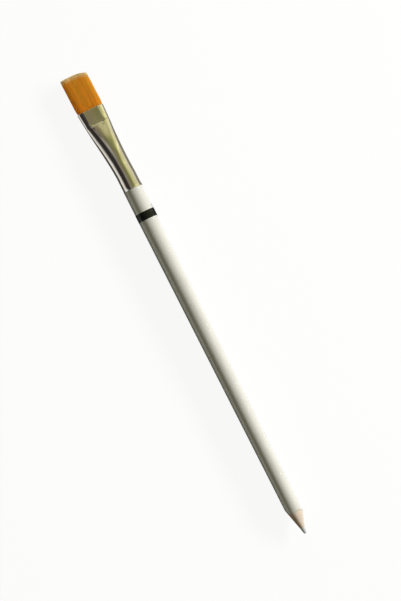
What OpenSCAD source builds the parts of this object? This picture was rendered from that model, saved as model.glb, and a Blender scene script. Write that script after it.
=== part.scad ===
// Wood-cased eraser pencil with a flat brush in a metal ferrule on its other end.
// It lies along X, with the brush towards -X, the eraser tip towards +X and the brush's wide face up.
// The origin is on the barrel's axis, halfway along the straight seat that runs from the ferrule to the band's far edge.

/* [Barrel] */
// Diameter over the lacquer, on the straight seat at the ferrule
barrel_d = 7.45; // [6.5:0.05:9]
// Diameter over the lacquer, at the sharpened edge
edge_d = 6.15; // [5.5:0.05:6.4]
// Tapered barrel, from the black band to the sharpened edge
barrel_len = 120.7; // [60:0.1:180]
// Thickness of the lacquer coats together
lacquer_t = 0.15; // [0.1:0.01:0.3]
// Width of the black band
band_w = 3.2; // [1:0.1:8]
// Height of the band over the lacquer
band_t = 0.05; // [0.03:0.01:0.1]
// Barrel between the ferrule and the band
collar_gap = 9.3; // [3:0.1:20]

/* [Eraser core and sharpened end] */
// Diameter of the eraser core
core_d = 1.9; // [1.6:0.1:3.2]
// Full angle of the sharpened cone
cone_angle = 34; // [24:1:44]
// Bare eraser past the wood
core_out = 2.4; // [1.5:0.1:5]
// Radius of the worn tip
nose_r = 0.55; // [0.4:0.05:0.75]
// Gap that the core's glue fills
core_fit = 0.02; // [0.01:0.01:0.05]

/* [Ferrule] */
// Length of the ferrule
ferrule_len = 33.4; // [28:0.1:40]
// Wall of the ferrule
wall_t = 0.25; // [0.2:0.01:0.4]
// How far the ferrule's round end lies below the lacquer
ferrule_step = 0.05; // [0:0.01:0.3]
// Round length of the ferrule, at the barrel
neck_len = 8.5; // [7:0.1:11]
// Length of the flared lip
lip_len = 1; // [0.5:0.1:2]
// How far the lip flares out
lip_flare = 0.1; // [0:0.01:0.2]
// Width of the mouth
mouth_w = 10.4; // [9:0.05:12]
// Thickness of the mouth
mouth_h = 3.1; // [2.4:0.1:5]
// Width of the flat faces at the mouth
mouth_flat = 5.8; // [4:0.1:6.8]
// Width of the flat faces at the crimp
crimp_flat = 4.8; // [3:0.1:6]
// Distance from the mouth back to the crimp
crimp_back = 5.9; // [4:0.1:7]
// Width of the crimped groove
crimp_w = 1.6; // [0.8:0.1:2]
// Depth of the crimped groove
crimp_depth = 0.22; // [0.1:0.01:0.35]
// Sideways bend of the ferrule past the barrel, in degrees
neck_lean = 2.9; // [0:0.1:4]
// Sideways lean that is left in the brush head, in degrees
head_lean = 1.4; // [0:0.1:3]

/* [Joint of barrel and ferrule] */
// Length of the wooden tenon inside the ferrule
tenon_len = 6; // [4:0.1:6.8]
// Thickness of the glue round the tenon
glue_t = 0.1; // [0.05:0.01:0.2]

/* [Brush] */
// Length of the bristles past the ferrule
tuft_out = 14.2; // [8:0.1:20]
// How far the bristles swell out past the ferrule's inside
tuft_bulge = 0.25; // [0:0.01:0.4]
// Thickness of the tuft at its tip
tip_h = 1.6; // [0.8:0.1:2.4]
// How much narrower the tuft's tip is than the ferrule's mouth
tip_narrow = 0; // [0:0.05:1]
// How much shorter the worn corner's bristles are
corner_drop = 1.1; // [0:0.1:2]
// Unevenness of the bristles' ends
tip_scatter = 0.12; // [0:0.01:0.3]
// Bristles across the width
tuft_cols = 44; // [36:1:48]
// Bristles through the thickness
tuft_rows = 9; // [8:1:10]
// Share of its place that a bristle fills
strand_fill = 0.7; // [0.4:0.05:0.8]
// Depth of the bristles' front face inside the mouth
root_depth = 0.3; // [0.1:0.05:0.6]
// Length of the glued bristle block behind the crimp
heel_back = 10; // [5:0.1:11]

/* [Hidden] */
$fn = 96;
wood_color = [0.86, 0.72, 0.55];
core_color = [0.80, 0.80, 0.77];
lacquer_color = [0.93, 0.93, 0.90];
band_color = [0.06, 0.06, 0.06];
metal_color = [0.72, 0.70, 0.60];
glue_color = [0.85, 0.80, 0.62];
heel_color = [0.55, 0.36, 0.14];
bristle_color = [0.80, 0.47, 0.13];

barrel_r = barrel_d / 2;
edge_r = edge_d / 2;
wood_r = barrel_r - lacquer_t;
core_r = core_d / 2;
groove_r = core_r + core_fit;
cone_slope = tan(cone_angle / 2);

// Places along X
seat_len = collar_gap + band_w;
lip_x = -seat_len / 2;
tenon_x = lip_x - tenon_len;
band_x = lip_x + collar_gap;
band_end_x = band_x + band_w;
edge_x = band_end_x + barrel_len;
cut_x = edge_x + lacquer_t / cone_slope;
wood_end_x = edge_x + (edge_r - groove_r) / cone_slope;
tip_x = edge_x + (edge_r - core_r) / cone_slope + core_out;

// The worn nose is an arc that starts a little off square to the side of the core
nose_start = 12;
nose_step = 13;

// Ferrule sections are counted by their distance s from the lip, towards the brush
section_n = 48;
fit_gap = 0.03;
ferrule_r = barrel_r - ferrule_step;
bore_r = ferrule_r - wall_t;
tenon_r = bore_r - glue_t;
crimp_s = ferrule_len - crimp_back;
flat_share = 0.35;
flat_s = neck_len + flat_share * (crimp_s - neck_len);
bend_end_s = ferrule_len * 2 / 3;
throat_steps = 10;
mouth_steps = 4;
groove_steps = 4;
ferrule_stations = concat(
    [0, lip_len / 2, lip_len],
    [for (i = [1:2]) lip_len + (neck_len - lip_len) * i / 2],
    [for (i = [1:throat_steps]) neck_len + (crimp_s - crimp_w / 2 - neck_len) * i / throat_steps],
    [for (i = [1:groove_steps]) crimp_s - crimp_w / 2 + crimp_w * i / groove_steps],
    [for (i = [1:mouth_steps]) crimp_s + crimp_w / 2 + (crimp_back - crimp_w / 2) * i / mouth_steps]);

// The heel fills the throat and the crimp, and the bristle block starts in front of it
heel_end_s = crimp_s + crimp_w / 2;
heel_steps = 4;
heel_stations = concat(
    [for (i = [0:heel_steps]) crimp_s - heel_back + (heel_back - crimp_w / 2) * i / heel_steps],
    [for (i = [1:groove_steps]) crimp_s - crimp_w / 2 + crimp_w * i / groove_steps]);

// Bristle block, in shares of its own half width and half height
root_s = ferrule_len - root_depth;
block_cover = 0.97;
belly_share = 0.3;
end_drop = 0.2;
tip_taper = 0.55;
root_stagger = 0.3;
scatter_seed = 41;

function mix(a, b, t) = a + (b - a) * t;
function clamp01(t) = min(1, max(0, t));
function ease(t) = let (c = clamp01(t)) c * c * (3 - 2 * c);
// The way the ferrule's width opens, late at first and then evenly
function opening(t) = let (v = pow(clamp01(t), 1.15)) (ease(v) + v) / 2;
// A ramp from 0 to 1 whose first part, up to k, is a curve that meets the straight part smoothly
function soft_ramp(t, k) = t < k ? pow(clamp01(t), 2) / (k * (2 - k)) : (2 * clamp01(t) - k) / (2 - k);

// Section of the ferrule at s: half width, half height, half the flat face's width, and sideways place
function groove(s) = pow(max(0, 1 - pow((s - crimp_s) / (crimp_w / 2), 2)), 2);
function half_w(s) = mix(ferrule_r, mouth_w / 2, opening((s - neck_len) / (ferrule_len - neck_len)))
    + lip_flare * pow(max(0, 1 - s / lip_len), 2);
function half_h(s) = mix(ferrule_r, mouth_h / 2, soft_ramp((s - neck_len) / (crimp_s - neck_len), flat_share))
    + lip_flare * pow(max(0, 1 - s / lip_len), 2) - crimp_depth * groove(s);
function half_flat(s) = s < crimp_s
    ? crimp_flat / 2 * clamp01((s - flat_s) / (crimp_s - flat_s))
    : mix(crimp_flat, mouth_flat, (s - crimp_s) / crimp_back) / 2;
function head_y(s) = -tan(neck_lean) * max(0, min(s, bend_end_s) - tenon_len)
    - tan(head_lean) * max(0, s - bend_end_s);

// One ring of points round the section, set in by the given inset
function ring(s, inset) = [for (i = [0:section_n - 1])
    let (a = (i + 0.5) * 360 / section_n, c = half_flat(s), side = cos(a) > 0 ? 1 : -1)
    [lip_x - s,
     head_y(s) + side * c + (half_w(s) - inset - c) * cos(a),
     (half_h(s) - inset) * sin(a)]];

// Triangles between two rings of n points that start at indices p and q, seen from outside
function skin(p, q, n) = [for (j = [0:n - 1]) let (k = (j + 1) % n)
    each [[p + j, p + k, q + k], [p + j, q + k, q + j]]];
function skin_inside(p, q, n) = [for (f = skin(p, q, n)) [f[2], f[1], f[0]]];
function cap_start(p, n) = [for (j = [n - 1:-1:0]) p + j];
function cap_end(p, n) = [for (j = [0:n - 1]) p + j];

module along_x() {
    rotate([0, 90, 0]) children();
}

module revolve(profile, angle = 360, turn = 0) {
    along_x() rotate([0, 0, turn]) rotate_extrude(angle = angle) polygon(profile);
}

// A solid through the sections at the given stations
module loft(stations, inset) {
    n = section_n;
    m = len(stations);
    points = [for (s = stations) each ring(s, inset)];
    sides = [for (i = [0:m - 2]) each skin(i * n, (i + 1) * n, n)];
    polyhedron(points = points, faces = concat(sides, [cap_start(0, n), cap_end((m - 1) * n, n)]));
}

// A tube through the sections at the given stations, with the wall inside them
module loft_tube(stations, wall) {
    n = section_n;
    m = len(stations);
    inner = m * n;
    points = concat(
        [for (s = stations) each ring(s, 0)],
        [for (s = stations) each ring(s, wall)]);
    outer_sides = [for (i = [0:m - 2]) each skin(i * n, (i + 1) * n, n)];
    inner_sides = [for (i = [0:m - 2]) each skin_inside(inner + i * n, inner + (i + 1) * n, n)];
    lip = skin_inside(0, inner, n);
    mouth = skin((m - 1) * n, inner + (m - 1) * n, n);
    polyhedron(points = points, faces = concat(outer_sides, inner_sides, lip, mouth));
}

// Eraser core, from the end of the tenon to the worn tip
module eraser_core() {
    nose = [for (a = [nose_start:nose_step:90 - nose_step / 2]) [nose_r * cos(a), tip_x - nose_r + nose_r * sin(a)]];
    color(core_color) revolve(concat(
        [[0, tenon_x], [core_r, tenon_x], [core_r, tip_x - core_out]],
        nose,
        [[0, tip_x]]));
}

// One half of the casing, with half of the core's groove, the tenon and the sharpened cone
module casing_half() {
    revolve([
        [groove_r, tenon_x], [tenon_r, tenon_x], [tenon_r, lip_x], [wood_r, lip_x],
        [wood_r, band_end_x], [edge_r - lacquer_t, cut_x], [groove_r, wood_end_x]],
        angle = 180, turn = 90);
}

module casing_upper_half() {
    color(wood_color) casing_half();
}

module casing_lower_half() {
    color(wood_color) rotate([180, 0, 0]) casing_half();
}

// Lacquer over the casing, cut through by the sharpener
module lacquer_coat() {
    color(lacquer_color) revolve([
        [wood_r, lip_x], [barrel_r, lip_x], [barrel_r, band_end_x], [edge_r, edge_x],
        [edge_r - lacquer_t, cut_x], [wood_r, band_end_x]]);
}

module black_band() {
    color(band_color) revolve([
        [barrel_r, band_x], [barrel_r + band_t, band_x],
        [barrel_r + band_t, band_end_x], [barrel_r, band_end_x]]);
}

// Thin tube, round at the barrel and pressed flat at the mouth, with a crimp across both faces
module ferrule() {
    color(metal_color) loft_tube(ferrule_stations, wall_t);
}

// Glue between the tenon and the ferrule
module tenon_glue() {
    glue_r = bore_r - fit_gap;
    color(glue_color) revolve([
        [tenon_r, tenon_x], [glue_r, tenon_x], [glue_r, lip_x - fit_gap], [tenon_r, lip_x - fit_gap]]);
}

// Bristle ends set in resin, through the crimp
module heel_plug() {
    color(heel_color) loft(heel_stations, wall_t + fit_gap);
}

// Half height of the block at share u of its half width, for the section at s
function block_h(s, u, inset) =
    let (w = half_w(s) - inset, c = half_flat(s), y = abs(u) * block_cover * w)
    (half_h(s) - inset) * (y < c ? 1 : sqrt(1 - pow((y - c) / (w - c), 2)));
// Point of the block at s, for shares u of the width and v of the height
function block_point(s, u, v) = let (inset = wall_t + fit_gap)
    [lip_x - s, head_y(s) + u * block_cover * (half_w(s) - inset), v * block_h(s, u, inset)];
// Half width and half height out to the outermost bristles, at their roots
function outer_w() = block_cover * (half_w(root_s) - wall_t - fit_gap) * (1 - 1 / tuft_cols);
function outer_h() = (half_h(root_s) - wall_t - fit_gap) * (1 - 1 / tuft_rows);
// Size of the tuft at share t of its length, by its root, belly and tip
function spread(t, root, belly, tip) = (t < belly_share
    ? mix(root, belly, sin(90 * t / belly_share))
    : mix(belly, tip, (t - belly_share) / (1 - belly_share))) / root;
function spread_w(t) = spread(t, outer_w(), half_w(root_s) - wall_t + tuft_bulge, (mouth_w - tip_narrow) / 2);
function spread_h(t) = spread(t, outer_h(), half_h(root_s) - wall_t + tuft_bulge, tip_h / 2);
// Sideways shift of every other row, in columns, so that its bristles stand in the gaps of the rows beside it
function stagger(j, t) = (j % 2 - 0.5) * (t == 0 ? root_stagger : 0.5);
// Length of the bristle at share u of the width, before its scatter
function strand_len(u) = tuft_out + root_depth - corner_drop * pow(max(0, u), 2) - end_drop * pow(max(0, -u), 6);

// Three corners of a bristle at share t of its length
function strand_ring(u, v, length, t) =
    let (s = root_s + length * t,
         root = block_point(root_s, u, v),
         bulk = mix(1, tip_taper, t) * strand_fill,
         half_y = bulk * block_cover * half_w(root_s) / tuft_cols,
         half_z = bulk * block_h(root_s, u, wall_t) / tuft_rows)
    [for (a = [90, 210, 330])
        [lip_x - s,
         head_y(s) + (root[1] - head_y(root_s)) * spread_w(t) + half_y * cos(a),
         root[2] * spread_h(t) + half_z * spread_h(t) * sin(a)]];

// Bristles that grow out of the front face of one block, as one closed skin
module bristle_tuft() {
    cols = tuft_cols;
    rows = tuft_rows;
    shares = [0, belly_share, 1];
    scatter = rands(-tip_scatter, 0, cols * rows, scatter_seed);
    corner_u = function(i) 2 * i / cols - 1;
    corner_v = function(j) 2 * j / rows - 1;
    corner = function(i, j) i * (rows + 1) + j;
    loop = concat(
        [for (i = [0:cols - 1]) [i, 0]],
        [for (j = [0:rows - 1]) [cols, j]],
        [for (i = [cols:-1:1]) [i, rows]],
        [for (j = [rows:-1:1]) [0, j]]);
    loop_n = len(loop);
    back = (cols + 1) * (rows + 1);
    centre = back + loop_n;
    strands = centre + 1;
    first = function(i, j) strands + (i * rows + j) * 9;

    points = concat(
        [for (i = [0:cols], j = [0:rows]) block_point(root_s, corner_u(i), corner_v(j))],
        [for (p = loop) block_point(heel_end_s, corner_u(p[0]), corner_v(p[1]))],
        [[lip_x - heel_end_s, head_y(heel_end_s), 0]],
        [for (i = [0:cols - 1], j = [0:rows - 1])
            let (v = corner_v(j + 0.5), length = strand_len(corner_u(i + 0.5)) + scatter[i * rows + j])
            each [for (t = shares) each strand_ring(corner_u(i + 0.5 + stagger(j, t)), v, length, t)]]);

    // The face round each root, seen from the bristles' tips
    face = [for (i = [0:cols - 1], j = [0:rows - 1])
        let (low_in = corner(i, j), low_out = corner(i + 1, j), high_out = corner(i + 1, j + 1),
             high_in = corner(i, j + 1), top = first(i, j), left = top + 1, right = top + 2)
        each [
            [low_in, low_out, right], [low_in, right, left],
            [low_out, high_out, top], [low_out, top, right],
            [high_out, high_in, top],
            [high_in, low_in, left], [high_in, left, top]]];
    strand_sides = [for (i = [0:cols - 1], j = [0:rows - 1], k = [0:1])
        each skin(first(i, j) + 3 * k, first(i, j) + 3 * (k + 1), 3)];
    strand_ends = [for (i = [0:cols - 1], j = [0:rows - 1]) cap_end(first(i, j) + 6, 3)];
    walls = [for (p = [0:loop_n - 1])
        let (q = (p + 1) % loop_n, a = corner(loop[p][0], loop[p][1]), b = corner(loop[q][0], loop[q][1]))
        each [[back + p, back + q, b], [back + p, b, a]]];
    back_face = [for (p = [0:loop_n - 1]) [back + (p + 1) % loop_n, back + p, centre]];

    color(bristle_color)
        polyhedron(points = points, faces = concat(face, strand_sides, strand_ends, walls, back_face));
}

eraser_core();
casing_upper_half();
casing_lower_half();
lacquer_coat();
black_band();
ferrule();
tenon_glue();
heel_plug();
bristle_tuft();
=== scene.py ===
"""Looks of a wood-cased eraser pencil with a flat brush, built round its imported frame."""

import math

import bmesh
import bpy
import numpy as np
from bpy.props import FloatProperty, FloatVectorProperty, IntProperty, PointerProperty
from bpy.types import Operator, Panel, PropertyGroup
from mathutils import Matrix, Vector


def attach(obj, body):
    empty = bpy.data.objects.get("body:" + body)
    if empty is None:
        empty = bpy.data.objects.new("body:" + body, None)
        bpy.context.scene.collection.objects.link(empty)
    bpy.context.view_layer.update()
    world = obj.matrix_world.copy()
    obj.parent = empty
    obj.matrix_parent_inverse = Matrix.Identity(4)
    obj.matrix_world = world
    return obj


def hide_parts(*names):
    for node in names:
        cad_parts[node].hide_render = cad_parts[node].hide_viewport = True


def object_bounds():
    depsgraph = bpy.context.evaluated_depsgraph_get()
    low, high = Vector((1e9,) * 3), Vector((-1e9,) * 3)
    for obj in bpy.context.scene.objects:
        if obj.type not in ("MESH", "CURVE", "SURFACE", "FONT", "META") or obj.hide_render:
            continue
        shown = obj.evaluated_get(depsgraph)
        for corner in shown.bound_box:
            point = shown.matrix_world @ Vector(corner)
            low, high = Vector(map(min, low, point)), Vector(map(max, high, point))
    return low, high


bl_info = {
    "name": "Eraser Pencil with Brush",
    "version": (1, 0, 0),
    "blender": (4, 5, 0),
    "location": "3D View > Sidebar > Eraser Pencil",
    "description": "Builds the brush, ferrule, lacquer, wood and eraser over the packed frame",
    "category": "Object",
}

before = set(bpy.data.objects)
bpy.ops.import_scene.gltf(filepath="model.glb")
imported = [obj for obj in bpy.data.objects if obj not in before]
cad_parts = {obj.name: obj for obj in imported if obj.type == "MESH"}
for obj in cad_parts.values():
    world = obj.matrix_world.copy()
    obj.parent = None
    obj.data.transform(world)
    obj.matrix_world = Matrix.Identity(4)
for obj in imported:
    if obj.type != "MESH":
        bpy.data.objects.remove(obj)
CAD_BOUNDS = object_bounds()
BODY = "root"
AROUND = 192  # faces round the barrel


# Properties


def number(name, description, default, **kind):
    return FloatProperty(name=name, description=description, default=default, **kind)


def length(*words):
    return number(*words, unit="LENGTH", subtype="DISTANCE", precision=5)


def angle(name, description, degrees):
    return number(name, description, math.radians(degrees), unit="ROTATION", subtype="ANGLE")


def share(*words):
    return number(*words, min=0.0, max=1.0, subtype="FACTOR")


def amount(*words):
    return number(*words, min=0.0)


def count(name, description, default):
    return IntProperty(name=name, description=description, default=default, min=1)


def colour(name, description, default):
    return FloatVectorProperty(
        name=name, description=description, default=default, subtype="COLOR", size=3,
        min=0.0, max=1.0)


class BarrelSettings(PropertyGroup):
    """Sizes of the lacquered barrel and its band"""

    lip_x: length("Ferrule lip", "Place of the ferrule's lip along X", -0.00625)
    band_start: length("Band start", "Near edge of the black band", 0.00305)
    band_end: length("Band end", "Far edge of the black band, where the taper starts", 0.00625)
    edge_x: length("Sharpened edge", "Middle of the lacquer's cut edge", 0.12695)
    seat_radius: length("Seat radius", "Radius over the lacquer at the ferrule", 0.003725)
    edge_radius: length("Edge radius", "Radius over the lacquer at the sharpened edge", 0.003075)
    lacquer: length("Lacquer", "Thickness of the lacquer coats", 0.00015)
    band_height: length("Band height", "Height of the band over the lacquer", 0.00005)
    band_wander: length("Band wander", "How far the band's painted edges wander", 0.00003)


class PointSettings(PropertyGroup):
    """Sizes of the sharpened end"""

    cone_angle: angle("Cone angle", "Full angle of the sharpened cone", 34.0)
    cut_lean: length("Cut lean", "How much further the lacquer reaches on one side", 0.00037)
    cut_scallop: length("Cut scallop", "Depth of the three bows in the lacquer's cut edge", 0.0005)
    cut_dip: length("Cut dip", "How far the blade went up the lacquer in one place", 0.0011)
    dip_turn: angle("Dip place", "Where that place is, from +Y round over the top", 158.0)
    dip_spread: angle("Dip spread", "Half of that place's width round the barrel", 29.0)
    cut_wander: length("Cut wander", "Waviness of the cut edge", 0.00005)
    ridge_depth: length("Ridge depth", "Depth of the marks that the blade leaves", 0.000007)
    ridge_pitch: length("Ridge pitch", "Distance between the blade's marks", 0.00045)
    core_radius: length("Core radius", "Radius of the eraser core", 0.00095)
    core_out: length("Core out", "Bare eraser past the wood", 0.0024)
    nose_radius: length("Nose radius", "Radius of the worn tip", 0.00055)
    tenon_length: length("Tenon length", "Length of wood inside the ferrule", 0.006)
    tenon_radius: length("Tenon radius", "Radius of the wood inside the ferrule", 0.003325)


class FerruleSettings(PropertyGroup):
    """Sizes of the ferrule"""

    length: length("Length", "Length from lip to mouth", 0.0334)
    radius: length("Radius", "Outside radius at the barrel", 0.003675)
    wall: length("Wall", "Thickness of the sheet", 0.00025)
    neck: length("Neck", "Round length at the barrel", 0.0085)
    lip_length: length("Lip length", "Length of the flared lip", 0.001)
    lip_flare: length("Lip flare", "How far the lip flares out", 0.0001)
    lip_lift: length("Lip lift", "How far the lip is bent out on one side", 0.0002)
    lip_reach: length("Lip reach", "How far the bend reaches from the lip", 0.0025)
    mouth_width: length("Mouth width", "Width of the mouth", 0.0104)
    mouth_height: length("Mouth height", "Thickness of the mouth", 0.0031)
    mouth_pinch: length("Mouth pinch", "How far the mouth's faces lie below the crimp's", 0.00012)
    mouth_flat: length("Mouth flat", "Width of the flat faces at the mouth", 0.0058)
    crimp_flat: length("Crimp flat", "Width of the mouth's flat faces at the crimp", 0.0056)
    taper_flat: length("Taper flat", "Width of the tapering faces at the crimp", 0.00445)
    crimp_back: length("Crimp back", "Distance from the mouth back to the crimp", 0.0059)
    crimp_width: length("Crimp width", "Width of the crimped groove", 0.0016)
    crimp_depth: length("Crimp depth", "Depth of the crimped groove", 0.0002)
    crimp_arch: length("Crimp arch", "How far the groove arches towards the mouth", 0.00025)
    crown: length("Crown", "How far the flat faces bulge at their middle", 0.00016)
    bead: length("Bead", "Height of the pressed lines along the mouth's flat faces", 0.00007)
    ripple: length("Ripple", "Depth of the soft crease down the tapering faces", 0.00006)
    skew: length("Skew", "How far the tapering faces were pressed to one side", 0.00048)
    roll: angle("Roll", "How far the flattened end is rolled about the pencil", 5.0)
    neck_lean: angle("Neck lean", "Sideways bend past the barrel", 2.9)
    head_lean: angle("Head lean", "Sideways lean left in the brush head", 1.4)
    around: count("Around", "Faces round the section", 232)
    along: count("Along", "Faces along the length", 120)


class BrushSettings(PropertyGroup):
    """Sizes of the brush"""

    out: length("Out", "Length of the bristles past the ferrule", 0.01419)
    root_depth: length("Root depth", "How deep the bristles start inside the ferrule", 0.0050)
    heel_length: length("Heel length", "Length of the resin plug behind the bristles", 0.0108)
    bulge: length("Bulge", "How far the bristles swell past the ferrule's inside", 0.00026)
    lean: angle("Lean", "Sideways lean of the bristles", 0.95)
    tip_height: length("Tip height", "Thickness of the brush at its tip", 0.0016)
    corner_drop: length("Corner drop", "How much shorter the worn corner is", 0.0011)
    end_drop: length("End drop", "How much shorter the other corner is", 0.0002)
    scatter: length("Scatter", "Unevenness of the bristles' ends", 0.00028)
    clump: length("Clump", "How far the ends draw together in clumps", 0.00009)
    radius: length("Bristle radius", "Radius of one bristle", 0.000078)
    columns: count("Columns", "Bristles across the width", 84)
    rows: count("Rows", "Bristles through the thickness", 22)
    flat_share: share("Flat share", "Share of the tuft's faces that is flat", 0.5)
    seed: count("Seed", "Seed of the bristles' random lengths and shades", 7)


class FinishSettings(PropertyGroup):
    """Colours of the finishes"""

    lacquer: colour("Lacquer", "White lacquer", (0.83, 0.82, 0.78))
    primer: colour("Primer", "Edge of the lacquer where it was cut", (0.78, 0.72, 0.62))
    band: colour("Band", "Black paint of the band", (0.006, 0.007, 0.005))
    wood: colour("Wood", "Bare wood of the cone", (0.87, 0.755, 0.65))
    grain: colour("Grain", "Darker lines of the wood", (0.70, 0.50, 0.37))
    # Painted shade: the wood colour used down the -Y side of the cone, which faces away from the
    # lamp
    painted_shade_wood: colour("Painted shade", "Redder wood down one side", (0.62, 0.40, 0.29))
    eraser: colour("Eraser", "Eraser core", (0.79, 0.79, 0.81))
    smudge: colour("Smudge", "Rubbed grey on the eraser's tip", (0.50, 0.50, 0.51))
    metal: colour("Metal", "Plated sheet of the ferrule", (0.80, 0.78, 0.72))
    tarnish: colour("Tarnish", "Yellowed patches of the ferrule", (0.70, 0.66, 0.52))
    speck: colour("Speck", "Dark specks on the ferrule", (0.30, 0.27, 0.20))
    bristle_root: colour("Bristle root", "Bristles by the ferrule", (1.0, 0.56, 0.045))
    bristle_body: colour("Bristle body", "Bristles along their length", (1.0, 0.64, 0.070))
    bristle_dark: colour("Bristle dark", "Darker bristles among the others", (0.95, 0.47, 0.030))
    bristle_gold: colour("Bristle gold", "Golden streaks through the bristles", (1.0, 0.73, 0.085))
    bristle_tip: colour("Bristle tip", "Worn ends of the bristles", (1.0, 0.88, 0.58))
    bristle_through: share("Bristle through", "Share of light that bristles let through", 0.55)
    glue: colour("Glue", "Glue round the tenon", (0.62, 0.52, 0.30))
    resin: colour("Resin", "Resin round the bristles' roots", (0.24, 0.11, 0.03))


class StageSettings(PropertyGroup):
    """Camera, lamps and floor"""

    camera_x: length("Camera X", "Place of the camera along the pencil", 0.04175)
    camera_y: length("Camera Y", "Place of the camera across the pencil", 0.00385)
    camera_height: length("Camera height", "Height of the camera over the pencil's axis", 0.5)
    camera_turn: angle("Camera turn", "Turn of the picture about the view", 63.4)
    lens: amount("Lens", "Focal length in millimetres", 80.87)
    key_power: amount("Key power", "Power of the side lamp in watts", 11.1)
    key_side: angle("Key side", "How far the lamp leans from straight above", 68.0)
    fill: colour("Fill", "Light of the room", (0.143, 0.142, 0.097))
    floor_light: share("Floor light", "How much of the floor's paleness doesn't take shadow", 0.86)
    floor_bounce: share("Floor bounce", "Share of light that the floor gives back", 0.36)


GROUPS = {
    "barrel": BarrelSettings,
    "point": PointSettings,
    "ferrule": FerruleSettings,
    "brush": BrushSettings,
    "finish": FinishSettings,
    "stage": StageSettings,
}


def settings(group):
    return getattr(bpy.context.scene, "eraser_pencil_" + group)


# Mesh tools


def ease(t):
    c = np.clip(t, 0.0, 1.0)
    return c * c * (3 - 2 * c)


def mix(a, b, t):
    return a + (b - a) * t


def add_object(name, data):
    """A new object in the scene, at the origin."""
    item = bpy.data.objects.new(name, data)
    bpy.context.scene.collection.objects.link(item)
    return item


def add_sheet(name, points, faces, material):
    """A new object of a few plain faces."""
    mesh = bpy.data.meshes.new(name)
    mesh.from_pydata(points, [], faces)
    mesh.materials.append(material)
    return add_object(name, mesh)


def mesh_piece(name, points, faces, material, sharp=math.radians(40)):
    """A new object at the origin, with its place in its mesh and its faces turned outwards."""
    piece = add_sheet(name, [tuple(p) for p in points], faces, material)
    work = bmesh.new()
    work.from_mesh(piece.data)
    bmesh.ops.remove_doubles(work, verts=work.verts, dist=1e-8)
    bmesh.ops.recalc_face_normals(work, faces=work.faces)
    work.to_mesh(piece.data)
    work.free()
    piece.data.shade_smooth()
    piece.data.set_sharp_from_angle(angle=sharp)
    return piece


def skin(rings, closed_around=True, closed_along=False, caps=False):
    """Points and faces of a skin over rings of equally many points."""
    rings = np.asarray(rings, float)
    m, n = rings.shape[:2]
    faces = []
    for i in range(m if closed_along else m - 1):
        p, q = i * n, (i + 1) % m * n
        for j in range(n if closed_around else n - 1):
            k = (j + 1) % n
            faces.append((p + j, p + k, q + k, q + j))
    if caps:
        faces.append(tuple(range(n))[::-1])
        faces.append(tuple(range((m - 1) * n, m * n)))
    return rings.reshape(-1, 3), faces


def all_round(count):
    return np.arange(count) * math.tau / count


def turned(profile, turns):
    """Rings of a profile turned about X. Its x and r are numbers, or arrays over the angles."""
    return [
        [(x, r * math.cos(a), r * math.sin(a))
         for x, r, a in zip(*np.broadcast_arrays(*row, turns))]
        for row in profile]


def wander(angles, seed, waves=5):
    """A smooth random line round the turn, between about -1 and 1."""
    rng = np.random.default_rng(seed)
    total = np.zeros_like(angles)
    for k in range(1, waves + 1):
        total += rng.uniform(-1, 1) / k * np.sin(k * angles + rng.uniform(0, math.tau))
    return total


# Node tools


class Value:
    """The output of a node. Each operation on it adds one more node."""

    def __init__(self, nodes, socket):
        self.nodes, self.socket = nodes, socket

    def calc(self, operation, *others, clamp=False):
        return self.nodes.calc(operation, self, *others, clamp=clamp)

    def __add__(self, other):
        return self.calc("ADD", other)

    def __sub__(self, other):
        return self.calc("SUBTRACT", other)

    def __rsub__(self, other):
        return self.nodes.calc("SUBTRACT", other, self)

    def __mul__(self, other):
        return self.calc("MULTIPLY", other)

    def __truediv__(self, other):
        return self.calc("DIVIDE", other)

    def __pow__(self, other):
        return self.calc("POWER", other)

    def part_of(self, whole):
        """This divided by the whole, held between 0 and 1."""
        return self.calc("DIVIDE", whole, clamp=True)

    def ramp(self, low, high, low_value=0.0, high_value=1.0):
        """A straight ramp from low to high, held at both ends."""
        return self.nodes.add(
            "ShaderNodeMapRange", {0: self, 1: low, 2: high, 3: low_value, 4: high_value})

    def axes(self):
        """The three numbers of a vector or colour."""
        return list(self.nodes.add("ShaderNodeSeparateXYZ", {0: self}).siblings().values())

    def siblings(self):
        """All the outputs of this output's node, by their names."""
        outputs = self.socket.node.outputs
        return {socket.name: Value(self.nodes, socket) for socket in outputs}


class Nodes:
    """A node tree that nodes are added to."""

    def __init__(self, tree):
        self.tree = tree

    def fill(self, node, sockets):
        """Fills or links input sockets of a node."""
        for key, value in sockets.items():
            if isinstance(value, Value):
                self.tree.links.new(value.socket, node.inputs[key])
            else:
                node.inputs[key].default_value = value

    def add(self, kind, sockets=None, output=0, **options):
        """Adds a node, with its options and input sockets, and gives one of its outputs."""
        node = self.tree.nodes.new(kind)
        for key, value in options.items():
            setattr(node, key, value)
        self.fill(node, sockets or {})
        return Value(self, node.outputs[output]) if node.outputs else None

    def calc(self, operation, *values, clamp=False):
        """One Math node, whose inputs are numbers or values."""
        sockets = dict(enumerate(values))
        return self.add("ShaderNodeMath", sockets, operation=operation, use_clamp=clamp)

    def blend(self, factor, first, second):
        """One Mix Color node between two colours or values."""
        return self.add("ShaderNodeMix", {0: factor, 6: first, 7: second}, 2, data_type="RGBA")

    def seen_by(self, first, *others):
        """1 for these kinds of rays, 0 for the others."""
        rays = self.add("ShaderNodeLightPath").siblings()
        seen = rays[f"Is {first} Ray"]
        for kind in others:
            seen = seen.calc("MAXIMUM", rays[f"Is {kind} Ray"])
        return seen


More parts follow.
